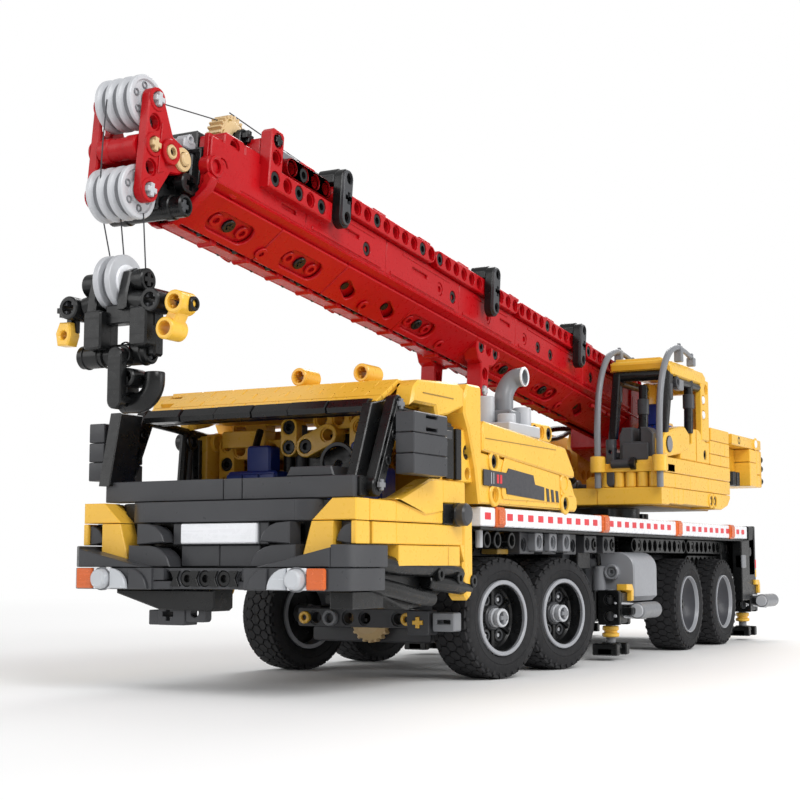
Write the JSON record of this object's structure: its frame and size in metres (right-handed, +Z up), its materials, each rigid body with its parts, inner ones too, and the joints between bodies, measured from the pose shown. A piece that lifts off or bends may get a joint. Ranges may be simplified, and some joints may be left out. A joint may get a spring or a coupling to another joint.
{
  "type": "toy crane truck",
  "caption": "Brick-built toy all-terrain crane truck: steered axles, outriggers, slewing turret with operator cab, luffing telescopic boom, winch, sheaves and hook.",
  "frame": {"origin": "on the ground under the middle of the whole truck's bounds, boom included", "axes": "+Z up, -Y the way the truck faces, +X towards the truck's left side, where the operator's cab is"},
  "size_m": [0.1386, 0.5774, 0.2109],
  "materials": {
    "chassis_frame": "moulded plastic",
    "front_axle_carrier": "moulded plastic",
    "rear_axle_carrier": "moulded plastic",
    "front_bumper": "moulded plastic",
    "front_panel": "moulded plastic",
    "cab_body": "moulded plastic",
    "cab_roof": "moulded plastic",
    "windscreen_frame": "moulded plastic",
    "mirror_left": "moulded plastic",
    "mirror_right": "moulded plastic",
    "engine_cover": "moulded plastic",
    "exhaust_pipe": "moulded plastic",
    "side_rail_left": "moulded plastic",
    "side_rail_right": "moulded plastic",
    "fuel_tank": "moulded plastic",
    "rear_bumper": "moulded plastic",
    "outrigger_box_front": "moulded plastic",
    "outrigger_box_rear": "moulded plastic",
    "turntable_ring": "moulded plastic",
    "knuckle_1_left": "moulded plastic",
    "knuckle_1_right": "moulded plastic",
    "knuckle_2_left": "moulded plastic",
    "knuckle_2_right": "moulded plastic",
    "tyre_1_left": "soft moulded rubber",
    "rim_1_left": "moulded plastic",
    "tyre_1_right": "soft moulded rubber",
    "rim_1_right": "moulded plastic",
    "tyre_2_left": "soft moulded rubber",
    "rim_2_left": "moulded plastic",
    "tyre_2_right": "soft moulded rubber",
    "rim_2_right": "moulded plastic",
    "tyre_3_left": "soft moulded rubber",
    "rim_3_left": "moulded plastic",
    "tyre_3_right": "soft moulded rubber",
    "rim_3_right": "moulded plastic",
    "tyre_4_left": "soft moulded rubber",
    "rim_4_left": "moulded plastic",
    "tyre_4_right": "soft moulded rubber",
    "rim_4_right": "moulded plastic",
    "outrigger_beam_front_left": "moulded plastic",
    "jack_leg_front_left": "moulded plastic",
    "outrigger_beam_front_right": "moulded plastic",
    "jack_leg_front_right": "moulded plastic",
    "outrigger_beam_rear_left": "moulded plastic",
    "jack_leg_rear_left": "moulded plastic",
    "outrigger_beam_rear_right": "moulded plastic",
    "jack_leg_rear_right": "moulded plastic",
    "turret_frame": "moulded plastic",
    "operator_cab": "moulded plastic",
    "counterweight": "moulded plastic",
    "boom_base": "moulded plastic",
    "luff_cylinder": "moulded plastic",
    "luff_rod": "moulded plastic",
    "boom_inner": "moulded plastic",
    "boom_head": "moulded plastic",
    "upper_sheaves": "moulded plastic",
    "lower_sheaves": "moulded plastic",
    "hook_block": "moulded plastic",
    "hook": "moulded plastic",
    "winch_drum": "moulded plastic"
  },
  "bodies": {
    "chassis": {"chassis_frame": "chassis_frame", "front_axle_carrier": "front_axle_carrier", "rear_axle_carrier": "rear_axle_carrier", "front_bumper": "front_bumper", "front_panel": "front_panel", "cab_body": "cab_body", "cab_roof": "cab_roof", "windscreen_frame": "windscreen_frame", "mirror_left": "mirror_left", "mirror_right": "mirror_right", "engine_cover": "engine_cover", "exhaust_pipe": "exhaust_pipe", "side_rail_left": "side_rail_left", "side_rail_right": "side_rail_right", "fuel_tank": "fuel_tank", "rear_bumper": "rear_bumper", "outrigger_box_front": "outrigger_box_front", "outrigger_box_rear": "outrigger_box_rear", "turntable_ring": "turntable_ring"},
    "knuckle_1_left": {"knuckle_1_left": "knuckle_1_left"},
    "knuckle_1_right": {"knuckle_1_right": "knuckle_1_right"},
    "knuckle_2_left": {"knuckle_2_left": "knuckle_2_left"},
    "knuckle_2_right": {"knuckle_2_right": "knuckle_2_right"},
    "wheel_1_left": {"tyre_1_left": "tyre_1_left", "rim_1_left": "rim_1_left"},
    "wheel_1_right": {"tyre_1_right": "tyre_1_right", "rim_1_right": "rim_1_right"},
    "wheel_2_left": {"tyre_2_left": "tyre_2_left", "rim_2_left": "rim_2_left"},
    "wheel_2_right": {"tyre_2_right": "tyre_2_right", "rim_2_right": "rim_2_right"},
    "wheel_3_left": {"tyre_3_left": "tyre_3_left", "rim_3_left": "rim_3_left"},
    "wheel_3_right": {"tyre_3_right": "tyre_3_right", "rim_3_right": "rim_3_right"},
    "wheel_4_left": {"tyre_4_left": "tyre_4_left", "rim_4_left": "rim_4_left"},
    "wheel_4_right": {"tyre_4_right": "tyre_4_right", "rim_4_right": "rim_4_right"},
    "outrigger_beam_front_left": {"outrigger_beam_front_left": "outrigger_beam_front_left"},
    "jack_leg_front_left": {"jack_leg_front_left": "jack_leg_front_left"},
    "outrigger_beam_front_right": {"outrigger_beam_front_right": "outrigger_beam_front_right"},
    "jack_leg_front_right": {"jack_leg_front_right": "jack_leg_front_right"},
    "outrigger_beam_rear_left": {"outrigger_beam_rear_left": "outrigger_beam_rear_left"},
    "jack_leg_rear_left": {"jack_leg_rear_left": "jack_leg_rear_left"},
    "outrigger_beam_rear_right": {"outrigger_beam_rear_right": "outrigger_beam_rear_right"},
    "jack_leg_rear_right": {"jack_leg_rear_right": "jack_leg_rear_right"},
    "turret": {"turret_frame": "turret_frame", "operator_cab": "operator_cab", "counterweight": "counterweight"},
    "boom": {"boom_base": "boom_base"},
    "luff_cylinder": {"luff_cylinder": "luff_cylinder"},
    "luff_rod": {"luff_rod": "luff_rod"},
    "boom_inner": {"boom_inner": "boom_inner", "boom_head": "boom_head"},
    "upper_sheaves": {"upper_sheaves": "upper_sheaves"},
    "lower_sheaves": {"lower_sheaves": "lower_sheaves"},
    "hook_block": {"hook_block": "hook_block"},
    "hook": {"hook": "hook"},
    "winch_drum": {"winch_drum": "winch_drum"}
  },
  "joints": [
    {"name": "steer_1_left", "type": "hinge", "parent": "chassis", "child": "knuckle_1_left", "pos_m": [0.033, -0.0966, 0.02475], "axis": [0, 0, 1], "range_deg": [-6, 34]},
    {"name": "steer_1_right", "type": "hinge", "parent": "chassis", "child": "knuckle_1_right", "pos_m": [-0.033, -0.0966, 0.02475], "axis": [0, 0, 1], "range_deg": [-6, 34]},
    {"name": "steer_2_left", "type": "hinge", "parent": "chassis", "child": "knuckle_2_left", "pos_m": [0.033, -0.0326, 0.02475], "axis": [0, 0, 1], "range_deg": [-6, 34]},
    {"name": "steer_2_right", "type": "hinge", "parent": "chassis", "child": "knuckle_2_right", "pos_m": [-0.033, -0.0326, 0.02475], "axis": [0, 0, 1], "range_deg": [-6, 34]},
    {"name": "spin_1_left", "type": "hinge", "parent": "knuckle_1_left", "child": "wheel_1_left", "pos_m": [0.04901, -0.10059, 0.02475], "axis": [0.9703, -0.2419, 0], "continuous": true},
    {"name": "spin_1_right", "type": "hinge", "parent": "knuckle_1_right", "child": "wheel_1_right", "pos_m": [-0.04901, -0.09261, 0.02475], "axis": [0.9703, -0.2419, 0], "continuous": true},
    {"name": "spin_2_left", "type": "hinge", "parent": "knuckle_2_left", "child": "wheel_2_left", "pos_m": [0.04901, -0.03659, 0.02475], "axis": [0.9703, -0.2419, 0], "continuous": true},
    {"name": "spin_2_right", "type": "hinge", "parent": "knuckle_2_right", "child": "wheel_2_right", "pos_m": [-0.04901, -0.02861, 0.02475], "axis": [0.9703, -0.2419, 0], "continuous": true},
    {"name": "spin_3_left", "type": "hinge", "parent": "chassis", "child": "wheel_3_left", "pos_m": [0.0495, 0.1367, 0.02475], "axis": [1, 0, 0], "continuous": true},
    {"name": "spin_3_right", "type": "hinge", "parent": "chassis", "child": "wheel_3_right", "pos_m": [-0.0495, 0.1367, 0.02475], "axis": [1, 0, 0], "continuous": true},
    {"name": "spin_4_left", "type": "hinge", "parent": "chassis", "child": "wheel_4_left", "pos_m": [0.0495, 0.2007, 0.02475], "axis": [1, 0, 0], "continuous": true},
    {"name": "spin_4_right", "type": "hinge", "parent": "chassis", "child": "wheel_4_right", "pos_m": [-0.0495, 0.2007, 0.02475], "axis": [1, 0, 0], "continuous": true},
    {"name": "outrigger_front_left", "type": "slide", "parent": "chassis", "child": "outrigger_beam_front_left", "axis": [1, 0, 0], "range_m": [0, 0.028]},
    {"name": "jack_front_left", "type": "slide", "parent": "outrigger_beam_front_left", "child": "jack_leg_front_left", "axis": [0, 0, -1], "range_m": [-0.003, 0.0024]},
    {"name": "outrigger_front_right", "type": "slide", "parent": "chassis", "child": "outrigger_beam_front_right", "axis": [-1, 0, 0], "range_m": [0, 0.028]},
    {"name": "jack_front_right", "type": "slide", "parent": "outrigger_beam_front_right", "child": "jack_leg_front_right", "axis": [0, 0, -1], "range_m": [-0.003, 0.0024]},
    {"name": "outrigger_rear_left", "type": "slide", "parent": "chassis", "child": "outrigger_beam_rear_left", "axis": [1, 0, 0], "range_m": [0, 0.028]},
    {"name": "jack_rear_left", "type": "slide", "parent": "outrigger_beam_rear_left", "child": "jack_leg_rear_left", "axis": [0, 0, -1], "range_m": [-0.003, 0.0024]},
    {"name": "outrigger_rear_right", "type": "slide", "parent": "chassis", "child": "outrigger_beam_rear_right", "axis": [-1, 0, 0], "range_m": [0, 0.028]},
    {"name": "jack_rear_right", "type": "slide", "parent": "outrigger_beam_rear_right", "child": "jack_leg_rear_right", "axis": [0, 0, -1], "range_m": [-0.003, 0.0024]},
    {"name": "slew", "type": "hinge", "parent": "chassis", "child": "turret", "pos_m": [0, 0.1447, 0.0776], "axis": [0, 0, 1], "continuous": true},
    {"name": "boom_luff", "type": "hinge", "parent": "turret", "child": "boom", "pos_m": [0, 0.1967, 0.118], "axis": [-1, 0, 0], "range_deg": [-3, 46]},
    {"name": "luff_tilt", "type": "hinge", "parent": "turret", "child": "luff_cylinder", "pos_m": [0, 0.1107, 0.088], "axis": [-1, 0, 0], "range_deg": [-3.87, 56.63]},
    {"name": "luff_stroke", "type": "slide", "parent": "luff_cylinder", "child": "luff_rod", "axis": [0, -0.9638, 0.2665], "range_m": [-0.0047, 0.0642]},
    {"name": "boom_extend", "type": "slide", "parent": "boom", "child": "boom_inner", "axis": [0, -0.994, 0.1097], "range_m": [0, 0.11]},
    {"name": "rope_plumb", "type": "hinge", "parent": "boom_inner", "child": "lower_sheaves", "pos_m": [0, -0.27929, 0.16984], "axis": [-1, 0, 0], "range_deg": [-46, 3]},
    {"name": "hoist", "type": "slide", "parent": "lower_sheaves", "child": "hook_block", "axis": [0, 0, -1], "range_m": [0, 0.088]},
    {"name": "hook_swing", "type": "hinge", "parent": "hook_block", "child": "hook", "pos_m": [0.0026, -0.2857, 0.1154], "axis": [0, 1, 0], "range_deg": [-8, 25]},
    {"name": "upper_sheave_spin", "type": "hinge", "parent": "boom_inner", "child": "upper_sheaves", "pos_m": [0, -0.27577, 0.20165], "axis": [1, 0, 0], "range_deg": [-1, 2166]},
    {"name": "winch_spin", "type": "hinge", "parent": "turret", "child": "winch_drum", "pos_m": [0, 0.2347, 0.112], "axis": [1, 0, 0], "range_deg": [-1, 2332]}
  ],
  "couplings": [
    {"joint": "steer_1_right", "follows": "steer_1_left", "ratio": 1},
    {"joint": "steer_2_left", "follows": "steer_1_left", "ratio": 1},
    {"joint": "steer_2_right", "follows": "steer_1_left", "ratio": 1},
    {"joint": "outrigger_front_right", "follows": "outrigger_front_left", "ratio": 1},
    {"joint": "outrigger_rear_right", "follows": "outrigger_rear_left", "ratio": 1},
    {"joint": "luff_tilt", "follows": "boom_luff", "ratio": 1.2245},
    {"joint": "luff_stroke", "follows": "boom_luff", "m_per_rad": 0.079206},
    {"joint": "rope_plumb", "follows": "boom_luff", "ratio": -1},
    {"joint": "upper_sheave_spin", "follows": "hoist", "rad_per_m": 428.6},
    {"joint": "winch_spin", "follows": "hoist", "rad_per_m": 461.5}
  ]
}
